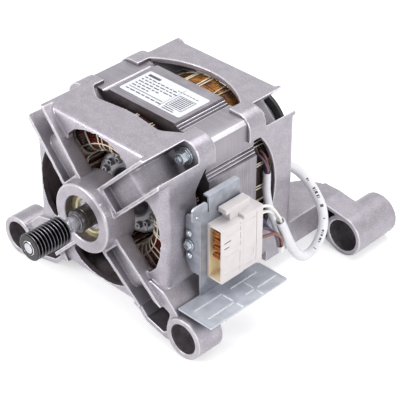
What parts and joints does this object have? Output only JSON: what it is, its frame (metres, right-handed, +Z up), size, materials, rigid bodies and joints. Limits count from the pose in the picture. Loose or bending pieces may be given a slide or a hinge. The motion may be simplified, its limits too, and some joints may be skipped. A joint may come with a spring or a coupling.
{
  "type": "washing machine motor",
  "caption": "Square washing machine drum motor with cast end brackets, open windings, a ribbed belt pulley, mounting lugs and a side connector.",
  "frame": {"origin": "on the shaft axis at the middle of the belt pulley", "axes": "+Y along the shaft from the pulley to the rear, +X towards the side connector, +Z up, away from the mounting lugs"},
  "size_m": [0.1792, 0.2297, 0.1232],
  "materials": {
    "cast_aluminium": "die cast, matt",
    "lamination_steel": "stamped edges, lightly oiled",
    "dark_winding": "varnished copper wire",
    "copper_winding": "varnished copper wire",
    "rotor_aluminium": "cast, bright",
    "ground_steel": "ground",
    "black_steel": "blackened, semi-gloss",
    "dark_collar": "burnished",
    "bearing_steel": "polished",
    "bearing_brass": "pressed",
    "seal": "matt",
    "zinc_fastener": "zinc plated",
    "zinc_sheet": "zinc plated",
    "white_nylon": "moulded",
    "contact_metal": "tinned bronze",
    "white_sleeve": "soft",
    "lead_insulation": "soft",
    "label_film": "film",
    "black_plastic": "moulded",
    "magnet_ferrite": "moulded",
    "coil_former": "moulded"
  },
  "bodies": {
    "stator": {"front_bracket": "cast_aluminium", "rear_bracket": "cast_aluminium", "stator_core": "lamination_steel", "winding_core": "dark_winding", "front_winding": "dark_winding", "rear_winding": "copper_winding", "front_bearing_outer": "bearing_steel", "front_bearing_seals": "seal", "rear_bearing_outer": "bearing_steel", "rear_bearing_seals": "seal", "wave_washer": "ground_steel", "clamp_bolts": "zinc_fastener", "clamp_nuts": "zinc_fastener", "clamp_washers": "zinc_fastener", "tacho_coil": "coil_former", "tacho_cap": "black_plastic", "tacho_screws": "zinc_fastener", "connector_bracket": "zinc_sheet", "bracket_screw": "zinc_fastener", "bracket_rivets": "zinc_fastener", "connector_header": "white_nylon", "connector_cover": "white_nylon", "connector_terminals": "contact_metal", "lead_sleeve": "white_sleeve", "power_sleeve": "white_sleeve", "lead_wires": "lead_insulation", "rating_label": "label_film"},
    "rotor": {"rotor_core": "lamination_steel", "rotor_cage": "rotor_aluminium", "shaft": "ground_steel", "drive_pulley": "black_steel", "shaft_collar": "dark_collar", "front_bearing_inner": "bearing_steel", "rear_bearing_inner": "bearing_steel", "tacho_magnet": "magnet_ferrite"},
    "front_ball_set": {"front_bearing_balls": "bearing_steel", "front_bearing_cage": "bearing_brass"},
    "rear_ball_set": {"rear_bearing_balls": "bearing_steel", "rear_bearing_cage": "bearing_brass"}
  },
  "joints": [
    {"name": "rotor_spin", "type": "hinge", "parent": "stator", "child": "rotor", "pos_m": [0, 0, 0], "axis": [0, 1, 0], "continuous": true},
    {"name": "front_ball_set_spin", "type": "hinge", "parent": "stator", "child": "front_ball_set", "pos_m": [0, 0, 0], "axis": [0, 1, 0], "continuous": true},
    {"name": "rear_ball_set_spin", "type": "hinge", "parent": "stator", "child": "rear_ball_set", "pos_m": [0, 0, 0], "axis": [0, 1, 0], "continuous": true}
  ],
  "couplings": [
    {"joint": "front_ball_set_spin", "follows": "rotor_spin", "ratio": 0.381},
    {"joint": "rear_ball_set_spin", "follows": "rotor_spin", "ratio": 0.365}
  ]
}
